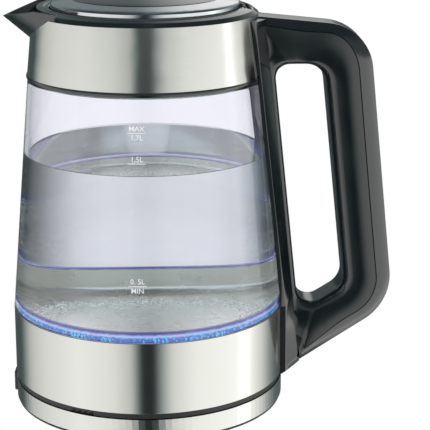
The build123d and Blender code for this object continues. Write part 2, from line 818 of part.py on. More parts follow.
def lid_button():
    button = button_plate(button_half, button_x0, button_x1, -4.6, 0.3)
    button = button - button_plate(button_half - 1.6, button_x0 + 1.6, button_x1 - 1.6, -5, -2.2)
    for x in (button_x0 + 4, button_x0 + 7, button_x0 + 10):
        button = button + button_plate(button_half - 2.5, x, x + 1.0, 0.2, 0.8)
    tip = bar_high - 0.5
    post = make_face(Polyline((wedge_x - 4.5, tip), (wedge_x - 3, tip), (wedge_x, tip + 3),
                              (wedge_x, top_z(wedge_x) - 2), (wedge_x - 4.5, top_z(wedge_x) - 2), close=True))
    return button + slab(post, latch_half - 2.0)


def release_housing():
    """Tray in the upper arm that guides the slider and seats the button's spring."""
    floor = block(link_x + 7, button_x1, housing_half, housing_top - 1.8, housing_top)
    peg = Pos(spring_x, 0, 0) * disc(1.4, housing_top - 1, housing_top + 4)
    rail = block(link_x + 7, wedge_x + 3, housing_half, housing_top - 0.5, housing_top + 2.5)
    rail = rail - block(link_x, spring_x, latch_half + clear, housing_top - 2, housing_top + 5)
    return floor + peg + rail


def button_spring():
    wire, radius = 0.35, 2.4
    low, high = housing_top + gap + 0.35, top_z(spring_x + radius) - 2.2 - gap - 0.35
    turn = Helix(pitch=(high - low) / 6, height=high - low, radius=radius)
    coil = sweep(Plane(turn @ 0, z_dir=turn % 0) * Circle(wire), path=turn)
    return Pos(spring_x, 0, low) * coil


# ---- switch, steam and wiring ---------------------------------------------------------------
pivot_x, pivot_z = opening_left_x + 12.7, jug_bottom + 10.7
switch_room_top = pivot_z + 6.7


def switch_room():
    """Slot in the bracket's foot for the switch paddle."""
    return block(band_radius + 0.6, pivot_x + 2.5, switch_half_width, 0, switch_room_top)


def switch_bore():
    return Pos(pivot_x, 0, pivot_z) * Rot(90, 0, 0) * Cylinder(1.02, 2 * switch_half_width + 5)


def switch_pin():
    return Pos(pivot_x, 0, pivot_z) * Rot(90, 0, 0) * Cylinder(1.0, 2 * switch_half_width + 4.6)


def switch_lever():
    x0, x1, lift = pivot_x - 5.8, pivot_x + 1.8, 0.2
    face = make_face(Polyline((x0, foot_z(x0) + lift), (x1, foot_z(x1) + lift), (x1, pivot_z + 1.8),
                              (pivot_x - 1.5, pivot_z + 3.2), (x0 + 0.4, foot_z(x0) + 5.6), close=True))
    lever = slab(face, switch_half_width - clear)
    return lever - Pos(pivot_x, 0, pivot_z) * Rot(90, 0, 0) * Cylinder(1.0 + pin_fit, 40)


steam_radius = 2.1


def switch_module():
    """Snap switch with the steam disc, behind the paddle."""
    low, high, back = module_low, module_high, band_radius + 1.0
    depth = plastic_wall + 0.3
    face = make_face(Polyline((back, low), (bracket_x(low) - depth, low), (bracket_x(high) - depth, high),
                              (back, high), close=True))
    return slab(face, switch_half_width - 1.0)


def steam_path():
    """From the neck through the upper arm, down the grip and back to the switch."""
    high, middle = opening_top + 5.2, grip_thickness / 2
    depth = 15.0
    turn_x, turn_z = foot_corner(middle, depth)
    last_x = pivot_x + 0.5
    return FilletPolyline((collar_foot_radius - 5.1, 0, high), (grip_x(high, middle), 0, high), (turn_x, 0, turn_z),
                          (last_x, 0, foot_z(last_x, depth)), radius=11)


def steam_bore(grow=0.25):
    path = steam_path()
    return sweep(Plane(path @ 0, z_dir=path % 0) * Circle(steam_radius + grow), path=path)


def steam_tube():
    path = steam_path()
    start = Plane(path @ 0, z_dir=path % 0)
    return sweep(start * (Circle(steam_radius) - Circle(steam_radius - 0.7)), path=path)


def wiring_loom():
    """Two insulated leads from the control unit to the switch."""
    leads = []
    for side in (-1, 1):
        y = 3.2 * side
        path = FilletPolyline((control_radius - 4, y, control_top + 1.6), (control_radius + 14, y, control_top - 3),
                              (band_radius + 0.9, y, module_low + 2.0), radius=8)
        leads.append(sweep(Plane(path @ 0, z_dir=path % 0) * Circle(0.8), path=path))
    return group(leads)


def lid_spring():
    """Torsion spring beside the lid's knuckle."""
    wire, radius = 0.35, pin_radius + 0.6
    turn = Helix(pitch=0.85, height=1.9, radius=radius)
    coil = sweep(Plane(turn @ 0, z_dir=turn % 0) * Circle(wire), path=turn)
    return Pos(lid_hinge_x, -knuckle_half - 0.7, lid_hinge_z) * Rot(90, 0, 0) * coil


sub_parts = [
    base_bottom_plate, base_steel_ring, base_top_plate, base_screws, rubber_feet, cord_gland,
    connector_core, contact_rings, connector_shutter, shutter_spring,
    bottom_cover, bottom_cover_screws, lower_band, clamp_ring, heater_dish, heat_spreader,
    heating_element, control_unit, control_contacts, bimetal_disc, light_board, light_leds,
    light_ring, bottom_seal, glass_body, top_seal, collar_trim_ring, upper_collar, spout_rim,
    spout_filter_frame, spout_filter_mesh, lid_cap, lid_centre, lid_frame, lid_inner_cover,
    lid_seal, lid_screws, lid_hinge_pin, lid_spring, handle_bracket, handle_cover_strip, handle_outer_shell,
    handle_inner_shell, handle_screws, lid_latch_slider, lid_button, button_spring, release_housing,
    switch_lever, switch_pin, switch_module, steam_tube, wiring_loom,
]

for make in sub_parts:
    shape = make()
    export_step(shape, f"parts/{make.__name__}.step")
    box = shape.bounding_box()
    print(make.__name__, len(shape.solids()), round(shape.volume), "z", round(box.min.Z, 1), round(box.max.Z, 1))
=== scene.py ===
"""Glass kettle on its power base: the looks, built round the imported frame.

Metres, +Z up, +X to the handle. Every piece rides on a body of the frame.
"""

import json
import random
from math import cos, pi, radians, sin, tan

import bmesh
import bpy
from bpy.props import FloatProperty, FloatVectorProperty, PointerProperty
from mathutils import Matrix, Vector


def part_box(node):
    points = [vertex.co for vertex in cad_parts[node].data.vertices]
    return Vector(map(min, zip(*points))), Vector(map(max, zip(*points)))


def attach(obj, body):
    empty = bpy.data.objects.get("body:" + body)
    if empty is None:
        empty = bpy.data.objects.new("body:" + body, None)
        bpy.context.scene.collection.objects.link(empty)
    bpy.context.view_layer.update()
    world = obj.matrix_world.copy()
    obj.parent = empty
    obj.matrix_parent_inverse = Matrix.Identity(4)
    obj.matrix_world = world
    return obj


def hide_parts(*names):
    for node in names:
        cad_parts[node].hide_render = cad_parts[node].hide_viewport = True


bl_info = {
    "name": "Glass Kettle",
    "version": (1, 0, 0),
    "blender": (4, 5, 0),
    "location": "View3D > Sidebar > Kettle",
    "description": "Builds a lit glass kettle and its studio round a packed frame",
    "category": "Add Mesh",
}

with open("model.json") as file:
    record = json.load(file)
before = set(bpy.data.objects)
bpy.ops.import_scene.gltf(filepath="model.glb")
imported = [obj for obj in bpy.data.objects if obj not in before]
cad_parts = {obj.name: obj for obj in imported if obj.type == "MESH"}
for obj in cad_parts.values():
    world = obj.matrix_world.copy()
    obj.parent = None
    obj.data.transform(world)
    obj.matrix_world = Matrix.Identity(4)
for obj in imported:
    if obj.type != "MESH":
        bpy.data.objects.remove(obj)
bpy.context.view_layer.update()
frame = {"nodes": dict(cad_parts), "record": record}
MM = 0.001
BODY_GIRTH = 75.0 * MM     # radius at which a pattern is unrolled round the steel
RING_GIRTH = 74.5 * MM     # and round the lit ring
PRINT_LIFT = 0.06 * MM     # how far the level marks stand off the glass


def outer_radius(node):
    """Largest distance from the axis that the frame's node reaches along Y."""
    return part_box(node)[1].y


def foot_of(node):
    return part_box(node)[0].z


def top_of(node):
    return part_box(node)[1].z


# ---- mesh helpers ---------------------------------------------------------------------------
def finish_mesh(name, mesh_data, smooth_angle=35.0):
    """Makes a bmesh an object with smooth faces and crisp edges."""
    mesh = bpy.data.meshes.new(name)
    mesh_data.to_mesh(mesh)
    mesh_data.free()
    mesh.shade_smooth()
    mesh.set_sharp_from_angle(angle=radians(smooth_angle))
    piece = bpy.data.objects.new(name, mesh)
    bpy.context.scene.collection.objects.link(piece)
    weighted = piece.modifiers.new("weighted normals", "WEIGHTED_NORMAL")
    weighted.keep_sharp = True
    weighted.weight = 100
    return piece


def bevel_sharp(mesh_data, width, segments=3, angle=30.0):
    sharp = [e for e in mesh_data.edges
             if len(e.link_faces) == 2 and e.calc_face_angle() > radians(angle)]
    bmesh.ops.bevel(mesh_data, geom=sharp, offset=width, segments=segments, profile=0.5,
                    affect="EDGES", material=-1, clamp_overlap=True)


def spin_profile(points, steps):
    """Turns a closed outline of (radius, height) points about the kettle's axis."""
    on_axis, merge_within = 1e-9, 1e-7
    mesh_data = bmesh.new()
    ring = [mesh_data.verts.new((r, 0.0, z)) for r, z in points]
    edges = [mesh_data.edges.new((a, b)) for a, b in zip(ring, ring[1:] + ring[:1])
             if not (a.co.x < on_axis and b.co.x < on_axis)]
    bmesh.ops.spin(mesh_data, geom=ring + edges, cent=(0, 0, 0), axis=(0, 0, 1), dvec=(0, 0, 0),
                   angle=2 * pi, steps=steps, use_merge=True, use_duplicate=False)
    bmesh.ops.remove_doubles(mesh_data, verts=mesh_data.verts, dist=merge_within)
    bmesh.ops.recalc_face_normals(mesh_data, faces=mesh_data.faces)
    return mesh_data


def spun_piece(name, points, steps=160, edge=0.0, segments=3, smooth_angle=35.0):
    mesh_data = spin_profile(points, steps)
    if edge:
        bevel_sharp(mesh_data, edge, segments)
    return finish_mesh(name, mesh_data, smooth_angle)


def refined_copy(name, node, smooth_angle=28.0):
    """A copy of a frame node with its loose triangles joined, for smooth shading."""
    mesh_data = bmesh.new()
    mesh_data.from_mesh(frame["nodes"][node].data)
    bmesh.ops.remove_doubles(mesh_data, verts=mesh_data.verts, dist=0.002 * MM)
    bmesh.ops.dissolve_degenerate(mesh_data, edges=mesh_data.edges, dist=0.001 * MM)
    return finish_mesh(name, mesh_data, smooth_angle)


def settle(piece, body, slot, material, *nodes):
    """Gives a finished piece its body, material and the frame nodes that it stands for; the slot is not
    used.
    """
    piece.data.materials.clear()
    piece.data.materials.append(material)
    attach(piece, body)
    if nodes:
        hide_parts(*nodes)
    return piece


# ---- material helpers -----------------------------------------------------------------------
def linear(hex_colour):
    """An sRGB hex colour as linear red, green, blue and alpha."""
    parts = [int(hex_colour[i:i + 2], 16) / 255 for i in (0, 2, 4)]
    levels = (p / 12.92 if p <= 0.04045 else ((p + 0.055) / 1.055) ** 2.4 for p in parts)
    return (*levels, 1.0)


def add_node(tree, kind, settings=None, inputs=None):
    """Adds one node, sets its properties, and fills or links its inputs."""
    node = tree.nodes.new(kind)
    for key, value in (settings or {}).items():
        setattr(node, key, value)
    for key, value in (inputs or {}).items():
        if isinstance(value, bpy.types.NodeSocket):
            tree.links.new(value, node.inputs[key])
        else:
            node.inputs[key].default_value = value
    return node


def new_material(name, **shader_inputs):
    """A material with one Principled shader and its own output, and its node tree."""
    material = bpy.data.materials.new(name)
    material.use_nodes = True
    tree = material.node_tree
    tree.nodes.clear()
    shader = add_node(tree, "ShaderNodeBsdfPrincipled", inputs=shader_inputs)
    add_node(tree, "ShaderNodeOutputMaterial", inputs={"Surface": shader.outputs["BSDF"]})
    return material, tree, shader


def output_of(tree):
    return next(n for n in tree.nodes if n.type == "OUTPUT_MATERIAL")


def bumped(tree, shader, height, distance):
    """Lets a pattern stand `distance` metres proud of a shader's surface."""
    bump = add_node(tree, "ShaderNodeBump", inputs={
        "Height": height, "Distance": distance, "Strength": 1.0})
    tree.links.new(bump.outputs["Normal"], shader.inputs["Normal"])


def noise_of(tree, vector, size, detail=3.0, roughness=0.5):
    """Noise whose grains are about `size` metres across."""
    return add_node(tree, "ShaderNodeTexNoise", inputs={
        "Vector": vector, "Scale": 1.0 / size, "Detail": detail, "Roughness": roughness}).outputs["Fac"]


def object_point(tree):
    return add_node(tree, "ShaderNodeTexCoord").outputs["Object"]


def ranged(tree, value, low, high, from_low=0.0, from_high=1.0, smooth=False):
    """Takes a value that runs over the last two to one that runs from low to high."""
    settings = {"interpolation_type": "SMOOTHSTEP"} if smooth else {}
    return add_node(tree, "ShaderNodeMapRange", settings, {
        "Value": value, "From Min": from_low, "From Max": from_high,
        "To Min": low, "To Max": high}).outputs[0]


def uneven_roughness(tree, shader, pattern, low, high):
    """Spreads a noise pattern's usual values over two levels of roughness."""
    tree.links.new(ranged(tree, pattern, low, high, 0.3, 0.7), shader.inputs["Roughness"])


def ramp_of(tree, value, stops):
    """A colour ramp over `value`, from (position, linear colour) stops."""
    ramp = add_node(tree, "ShaderNodeValToRGB", inputs={"Fac": value})
    for _ in stops[2:]:
        ramp.color_ramp.elements.new(0.5)
    for element, (position, colour) in zip(ramp.color_ramp.elements, stops):
        element.position, element.color = position, colour
    return ramp.outputs["Color"]


def blended(tree, share, first, second):
    """Mixes two colours by a share from 0 to 1."""
    return add_node(tree, "ShaderNodeMix", {"data_type": "RGBA"}, {
        0: share, 6: first, 7: second}).outputs[2]


def calculate(tree, operation, first, second=None):
    inputs = {0: first} if second is None else {0: first, 1: second}
    return add_node(tree, "ShaderNodeMath", {"operation": operation}, inputs).outputs[0]


def around_axis(tree, girth):
    """Object coordinates unrolled round the kettle's axis: length round it, and height."""
    split = add_node(tree, "ShaderNodeSeparateXYZ", inputs={"Vector": object_point(tree)})
    angle = calculate(tree, "ARCTAN2", split.outputs["Y"], split.outputs["X"])
    return calculate(tree, "MULTIPLY", angle, girth), split.outputs["Z"]


def passing_light(tree, shader, tint):
    """Lets lamps shine through a glass shader, as thin clear glass does."""
    path = add_node(tree, "ShaderNodeLightPath")
    clear = add_node(tree, "ShaderNodeBsdfTransparent", inputs={"Color": tint})
    mixed = add_node(tree, "ShaderNodeMixShader", inputs={
        "Fac": path.outputs["Is Shadow Ray"], 1: shader.outputs["BSDF"], 2: clear.outputs["BSDF"]})
    tree.links.new(mixed.outputs["Shader"], output_of(tree).inputs["Surface"])


# ---- materials ------------------------------------------------------------------------------
def brushed_stainless():
    """304 stainless sheet, brushed round the body: soft panels of light with fine level streaks.

    The real lines are finer than this; they are drawn as coarse as they need to show.
    """
    roughness, line = 0.2, 0.35 * MM
    material, tree, shader = new_material("brushed_stainless", **{
        "Base Color": linear("c9c9c6"), "Metallic": 1.0, "Roughness": roughness,
        "Anisotropic": 0.9, "Anisotropic Rotation": 0.25})
    tangent = add_node(tree, "ShaderNodeTangent", {"direction_type": "RADIAL", "axis": "Z"})
    tree.links.new(tangent.outputs["Tangent"], shader.inputs["Tangent"])
    along, height = around_axis(tree, BODY_GIRTH)
    stretched = add_node(tree, "ShaderNodeCombineXYZ", inputs={
        "X": calculate(tree, "MULTIPLY", along, 0.02), "Y": height, "Z": 0.0})
    streaks = noise_of(tree, stretched.outputs["Vector"], line, 4.0, 0.6)
    uneven_roughness(tree, shader, streaks, roughness - 0.02, roughness + 0.02)
    bumped(tree, shader, streaks, 0.0001 * MM)
    return material


def polished_stainless():
    """Stainless of the lid, polished after pressing: near a mirror, with faint wipe marks."""
    material, tree, shader = new_material("polished_stainless", **{
        "Base Color": linear("bec1c5"), "Metallic": 1.0, "Roughness": 0.2})
    wiped = noise_of(tree, object_point(tree), 14 * MM, 3.0)
    uneven_roughness(tree, shader, wiped, 0.13, 0.2)
    return material


def satin_stainless():
    """Deep-drawn stainless of the dish: duller and slightly blotched."""
    material, tree, shader = new_material("satin_stainless", **{
        "Base Color": linear("dedccf"), "Metallic": 0.6, "Roughness": 0.24})
    blotch = noise_of(tree, object_point(tree), 9 * MM, 3.0)
    uneven_roughness(tree, shader, blotch, 0.2, 0.3)
    return material


def polished_black():
    """Polished moulded ABS: deep black, a clear gloss and the faint waviness of a mould."""
    material, tree, shader = new_material("polished_black_abs", **{
        "Base Color": linear("141b1d"), "Roughness": 0.16, "IOR": 1.52,
        "Specular IOR Level": 0.8})
    waves = noise_of(tree, object_point(tree), 7 * MM, 2.0)
    bumped(tree, shader, waves, 0.02 * MM)
    smudge = noise_of(tree, object_point(tree), 18 * MM, 3.0)
    uneven_roughness(tree, shader, smudge, 0.12, 0.2)
    return material


def textured_black():
    """Moulded polypropylene with a fine spark-eroded grain."""
    material, tree, shader = new_material("textured_black_pp", **{
        "Base Color": linear("1a1c1e"), "Roughness": 0.46})
    grain = noise_of(tree, object_point(tree), 0.5 * MM, 2.0)
    bumped(tree, shader, grain, 0.03 * MM)
    uneven_roughness(tree, shader, grain, 0.4, 0.55)
    return material


def borosilicate():
    """Clear blown borosilicate: almost no colour, sharp reflections, a trace of waviness."""
    material, tree, shader = new_material("borosilicate_glass", **{
        "Base Color": linear("fbfbff"), "Roughness": 0.0, "IOR": 1.47, "Transmission Weight": 1.0})
    waves = noise_of(tree, object_point(tree), 30 * MM, 1.0)
    bumped(tree, shader, waves, 0.02 * MM)
    passing_light(tree, shader, linear("fcfcff"))
    return material


def still_water():
    """Water, with the faint grey that its depth gives."""
    material, tree, shader = new_material("still_water", **{
        "Base Color": linear("e3e5e7"), "Roughness": 0.0, "IOR": 1.333, "Transmission Weight": 1.0})
    passing_light(tree, shader, linear("fafbfd"))
    return material


def lit_acrylic():
    """Cast acrylic ring over blue diodes: bands of violet, blue and pale light, with sparkles, and a dark
    band at the top that is a painted shadow of the dish's rim.
    """
    material, tree, shader = new_material("lit_acrylic", **{
        "Base Color": linear("1c1c48"), "Roughness": 0.2, "IOR": 1.49, "Emission Strength": 0.95})
    along, height = around_axis(tree, RING_GIRTH)
    level = ranged(tree, height, 0.0, 1.0, foot_of("light_ring"), top_of("light_ring"))
    cell = add_node(tree, "ShaderNodeCombineXYZ", inputs={
        "X": along, "Y": height, "Z": 0.0}).outputs["Vector"]
    wander = calculate(tree, "SUBTRACT", noise_of(tree, cell, 2.5 * MM, 3.0), 0.5)
    wander = calculate(tree, "MULTIPLY", wander, 0.25)
    # glow in bands up the ring; the dark violet stop at the top is a painted shadow of the dish's rim
    glow_bands_and_painted_rim_shadow = ramp_of(tree, calculate(tree, "ADD", level, wander), [
        (position, linear(colour)) for position, colour in (
            (0.0, "8f8ac8"), (0.2, "5450b0"), (0.42, "3350a8"), (0.6, "4a7cc4"), (0.7, "b9c8ea"),
            (0.8, "a29cd8"), (0.92, "34357c"))])
    # cyan sparkles: dots of light in patches, along the middle of the ring
    dots = add_node(tree, "ShaderNodeTexVoronoi", inputs={
        "Vector": cell, "Scale": 1 / (1.3 * MM), "Randomness": 1.0})
    spots = ranged(tree, dots.outputs["Distance"], 1.0, 0.0, 0.2, 0.52, smooth=True)
    patches = ranged(tree, noise_of(tree, cell, 26 * MM, 1.0), 0.45, 1.0, 0.35, 0.5, smooth=True)
    from_middle = calculate(tree, "ABSOLUTE", calculate(tree, "SUBTRACT", level, 0.55))
    middle = ranged(tree, from_middle, 1.0, 0.0, 0.15, 0.4)
    sparkle = calculate(tree, "MULTIPLY", calculate(tree, "MULTIPLY", spots, patches), middle)
    tree.links.new(blended(tree, sparkle, glow_bands_and_painted_rim_shadow, linear("5fd8fb")), shader.inputs["Emission Color"])
    return material


def plain_finish(name, colour, roughness, metallic=0.0, grain=0.6 * MM, depth=0.01 * MM, **more):
    """A small part's finish: one colour with a fine grain in its roughness and surface."""
    material, tree, shader = new_material(name, **{
        "Base Color": linear(colour), "Roughness": roughness, "Metallic": metallic, **more})
    fine = noise_of(tree, object_point(tree), grain, 2.0)
    uneven_roughness(tree, shader, fine, roughness * 0.8, min(1.0, roughness * 1.2))
    bumped(tree, shader, fine, depth)
    return material


FINISHES = {}


def finish_named(name):
    """Each material is made once, the first time that a piece asks for it."""
    makers = {
        "brushed": brushed_stainless,
        "satin": satin_stainless,
        "polished": polished_stainless,
        "gloss black": polished_black,
        "matte black": textured_black,
        "glass": borosilicate,
        "water": still_water,
        "lit acrylic": lit_acrylic,
        # bubbles: a faint painted glow stands in for the light that they catch
        "bubble": lambda: plain_finish("bubble_skin_painted_glow", "f6f8f6", 0.3, **{
            "Emission Color": linear("dfe7e4"), "Emission Strength": 0.25}),
        "white print": lambda: plain_finish("ceramic_print", "f6f6f6", 0.5),
        "screw": lambda: plain_finish("zinc_plate", "b4b4b0", 0.3, 1.0),
        "spring": lambda: plain_finish("music_wire", "8d8d8d", 0.28, 1.0),
        "mesh": lambda: plain_finish("woven_stainless", "9a9a95", 0.35, 1.0),
        "brass": lambda: plain_finish("plated_brass", "c9a654", 0.25, 1.0),
        "aluminium": lambda: plain_finish("rolled_aluminium", "c3c4c6", 0.35, 1.0),
        "sheath": lambda: plain_finish("element_sheath", "6f6f6c", 0.5, 1.0),
        "bimetal": lambda: plain_finish("bimetal_strip", "ab8b5b", 0.35, 1.0),
        "rubber": lambda: plain_finish("nitrile_rubber", "19191a", 0.75, depth=0.02 * MM),
        "silicone": lambda: plain_finish("grey_silicone", "c9cbcb", 0.45),
        "solder mask": lambda: plain_finish("white_solder_mask", "e8e8e2", 0.4),
        "diode": lambda: plain_finish("blue_diode", "7f90ff", 0.2),
        "wire": lambda: plain_finish("silicone_insulation", "d6d6d2", 0.5),
    }
    if name not in FINISHES:
        FINISHES[name] = makers[name]()
    return FINISHES[name]


SLOT_FINISH = {
    "gloss_black": "gloss black", "matte_black": "matte black", "brushed_steel": "brushed",
    "dish_steel": "satin", "mesh_steel": "mesh", "zinc_screw": "screw", "spring_steel": "spring",
    "rubber": "rubber", "silicone": "silicone", "brass": "brass", "aluminium": "aluminium",
    "element_sheath": "sheath", "bimetal": "bimetal", "circuit_board": "solder mask",
    "light_emitter": "diode", "acrylic": "lit acrylic", "glass": "glass", "wire_insulation": "wire",
}


# ---- sizes and colours a user may change ----------------------------------------------------
class KettleVesselSettings(bpy.types.PropertyGroup):
    glass_head_radius: FloatProperty(
        name="Glass head radius", description="Outside radius of the glass at its upper end",
        default=66.0 * MM, min=0.05, max=0.08, subtype="DISTANCE", unit="LENGTH")
    glass_wall: FloatProperty(
        name="Glass wall", description="Thickness of the glass",
        default=2.6 * MM, min=0.001, max=0.006, subtype="DISTANCE", unit="LENGTH")
    water_level: FloatProperty(
        name="Water level", description="Height of the water's surface over the table",
        default=146.7 * MM, min=0.06, max=0.18, subtype="DISTANCE", unit="LENGTH")
    sheet: FloatProperty(
        name="Steel sheet", description="Thickness of the steel band",
        default=0.6 * MM, min=0.0003, max=0.002, subtype="DISTANCE", unit="LENGTH")


class KettleHandleSettings(bpy.types.PropertyGroup):
    opening_left: FloatProperty(
        name="Opening, jug side", description="Distance from the axis to the opening, at the glass's head",
        default=72.1 * MM, min=0.06, max=0.1, subtype="DISTANCE", unit="LENGTH")
    opening_top: FloatProperty(
        name="Opening top", description="Height of the opening's upper edge",
        default=196.0 * MM, min=0.15, max=0.25, subtype="DISTANCE", unit="LENGTH")
    column_lean: FloatProperty(
        name="Column lean", description="How far the jug side leans out per unit of drop",
        default=0.106, min=0, max=0.3)
    grip_lean: FloatProperty(
        name="Grip lean", description="How far the grip leans out per unit of drop",
        default=0.107, min=0, max=0.3)
    grip_reach: FloatProperty(
        name="Grip reach", description="Outside of the grip, from the axis, at the glass's head",
        default=127.2 * MM, min=0.1, max=0.16, subtype="DISTANCE", unit="LENGTH")
    grip_thickness: FloatProperty(
        name="Grip thickness", description="Thickness of the grip, front to back",
        default=27.2 * MM, min=0.015, max=0.04, subtype="DISTANCE", unit="LENGTH")
    half_width: FloatProperty(
        name="Half width", description="Half of the handle's width",
        default=14.0 * MM, min=0.008, max=0.025, subtype="DISTANCE", unit="LENGTH")
    crown: FloatProperty(
        name="Crown", description="How far the grip's sides bulge",
        default=0.7 * MM, min=0, max=0.003, subtype="DISTANCE", unit="LENGTH")


class KettleStudioSettings(bpy.types.PropertyGroup):
    lens: FloatProperty(
        name="Lens", description="Focal length on a 36 mm sensor, in millimetres",
        default=129.46, min=20, max=300)
    camera_place: FloatVectorProperty(
        name="Camera place", description="Where the camera stands", default=(0.0, -0.8561, 0.3451),
        subtype="XYZ", unit="LENGTH")
    camera_pitch: FloatProperty(
        name="Camera pitch", description="How far the camera looks down", default=radians(15.522),
        subtype="ANGLE", unit="ROTATION")
    camera_yaw: FloatProperty(
        name="Camera yaw", description="How far the camera turns to the handle", default=radians(2.585),
        subtype="ANGLE", unit="ROTATION")


# ---- pieces ---------------------------------------------------------------------------------
def vessel():
    return bpy.context.scene.kettle_vessel


class GlassWall:
    """Outside of the glass, read once from the frame: a cone between its foot and its head."""

    def __init__(self):
        self.foot, self.head = foot_of("glass_body"), top_of("glass_body")
        self.low, self.high = outer_radius("glass_body"), vessel().glass_head_radius

    def radius(self, z):
        return self.low + (z - self.foot) / (self.head - self.foot) * (self.high - self.low)


class KETTLE_OT_glass(bpy.types.Operator):
    """Blown glass wall with fire-polished rims"""
    bl_idname = "kettle.glass"
    bl_label = "Glass wall"

    def execute(self, context):
        wall = vessel().glass_wall
        side = GlassWall()
        rim = 3 * MM                          # length of the fire-polished rims
        heights = (side.foot, side.foot + rim, side.head - rim, side.head)
        outline = [(side.radius(z), z) for z in heights]
        outline += [(side.radius(z) - wall, z) for z in reversed(heights)]
        glass = spun_piece("glass_wall", outline, steps=192, edge=0.9 * MM, segments=4)
        settle(glass, "kettle", "glass", finish_named("glass"), "glass_body")
        return {"FINISHED"}


class KETTLE_OT_water(bpy.types.Operator):
    """Water that stands in the jug, its skin drawn up a little at the glass"""
    bl_idname = "kettle.water"
    bl_label = "Water"

    def execute(self, context):
        wall, level = vessel().glass_wall, vessel().water_level
        dish_sheet = 0.5 * MM
        floor = foot_of("heater_dish") + dish_sheet
        dish_wall = outer_radius("heater_dish") - dish_sheet
        bite = 0.15 * MM                      # the water is drawn a hair into the glass
        shelf = top_of("light_ring") - 0.3 * MM
        side = GlassWall()
        radius_low = side.radius(top_of("light_ring")) - wall + bite
        radius_high = side.radius(level) - wall + bite
        corner = [(dish_wall - 4.3 * MM, floor), (dish_wall - 1.3 * MM, floor + 1.2 * MM),
                  (dish_wall, floor + 3.8 * MM)]
        skin = [(radius_high, level + 0.7 * MM), (radius_high - 0.6 * MM, level + 0.2 * MM),
                (radius_high - 1.4 * MM, level)]
        outline = [(0, floor), *corner, (dish_wall, shelf), (radius_low, shelf), *skin, (0, level)]
        water = spun_piece("water_fill", outline, steps=192, smooth_angle=50.0)
        settle(water, "kettle", "glass", finish_named("water"))
        return {"FINISHED"}


class KETTLE_OT_bubbles(bpy.types.Operator):
    """Small bubbles that cling to the dish's floor, over the bend of the element beneath it"""
    bl_idname = "kettle.bubbles"
    bl_label = "Bubbles"

    def execute(self, context):
        count, spread = 620, 3.2 * MM
        floor = foot_of("heater_dish") + 0.8 * MM
        bend = outer_radius("heating_element") - 4 * MM
        chance = random.Random(7)
        mesh_data = bmesh.new()
        for _ in range(count):
            angle = chance.uniform(radians(-25), radians(205))
            reach = bend + chance.gauss(0.0, spread)
            size = chance.uniform(0.22, 0.55) * MM
            place = Matrix.Translation((reach * cos(angle), reach * sin(angle), floor + 0.7 * size))
            bmesh.ops.create_icosphere(mesh_data, subdivisions=1, radius=size, matrix=place)
        bubbles = finish_mesh("floor_bubbles", mesh_data, 180.0)
        # their finish glows faintly: painted light, not a lamp
        settle(bubbles, "kettle", "glass", finish_named("bubble"))
        return {"FINISHED"}


class KETTLE_OT_steel(bpy.types.Operator):
    """Brushed steel of the band, base ring, collar and lid"""
    bl_idname = "kettle.steel"
    bl_label = "Brushed steel"

    def execute(self, context):
        radius, low, high = outer_radius("lower_band"), foot_of("lower_band"), top_of("lower_band")
        inside = radius - vessel().sheet
        outline = [(inside, low), (radius, low), (radius, high), (inside, high)]
        sleeve = spun_piece("band_sleeve", outline, steps=192, edge=0.22 * MM)
        settle(sleeve, "kettle", "brushed_steel", finish_named("brushed"), "lower_band")
        for name, node, body, finish in (
                ("base_sleeve", "base_steel_ring", "power_base", "brushed"),
                ("neck_collar", "upper_collar", "kettle", "brushed"),
                ("lid_bezel", "lid_cap", "lid", "polished")):
            settle(refined_copy(name, node), body, "brushed_steel", finish_named(finish), node)
        return {"FINISHED"}


class KETTLE_OT_heater(bpy.types.Operator):
    """Heater dish and the lit ring that the glass stands on"""
    bl_idname = "kettle.heater"
    bl_label = "Heater dish and lit ring"

    def execute(self, context):
        dish = refined_copy("dish_floor", "heater_dish")
        settle(dish, "kettle", "dish_steel", finish_named("satin"), "heater_dish")
        ring = refined_copy("glow_ring", "light_ring")
        settle(ring, "kettle", "acrylic", finish_named("lit acrylic"), "light_ring")
        return {"FINISHED"}


def rounded_corner(before, corner, after, radius, steps):
    """Points of the arc that rounds a corner, from the side of `before` to the side of `after`."""
    come, leave = (before - corner).normalized(), (after - corner).normalized()
    half = come.angle(leave) / 2
    centre = corner + (come + leave).normalized() * (radius / sin(half))
    start = corner + come * (radius / tan(half)) - centre
    end = corner + leave * (radius / tan(half)) - centre
    turn = start.angle_signed(end)
    return [centre + Matrix.Rotation(-turn * i / steps, 2) @ start for i in range(steps + 1)]


def between(start, end, steps):
    """Evenly spaced points from start up to, but not including, end."""
    return [start.lerp(end, i / steps) for i in range(steps)]


def crossing(point_a, slope_a, point_b, slope_b):
    """Where two lines meet: z rises by slope_a along x on one, and x by slope_b along z on the other."""
    rise = point_a[1] - slope_a * point_a[0] - point_b[1]
    x = (point_b[0] + slope_b * rise) / (1 - slope_a * slope_b)
    return Vector((x, point_a[1] + slope_a * (x - point_a[0])))


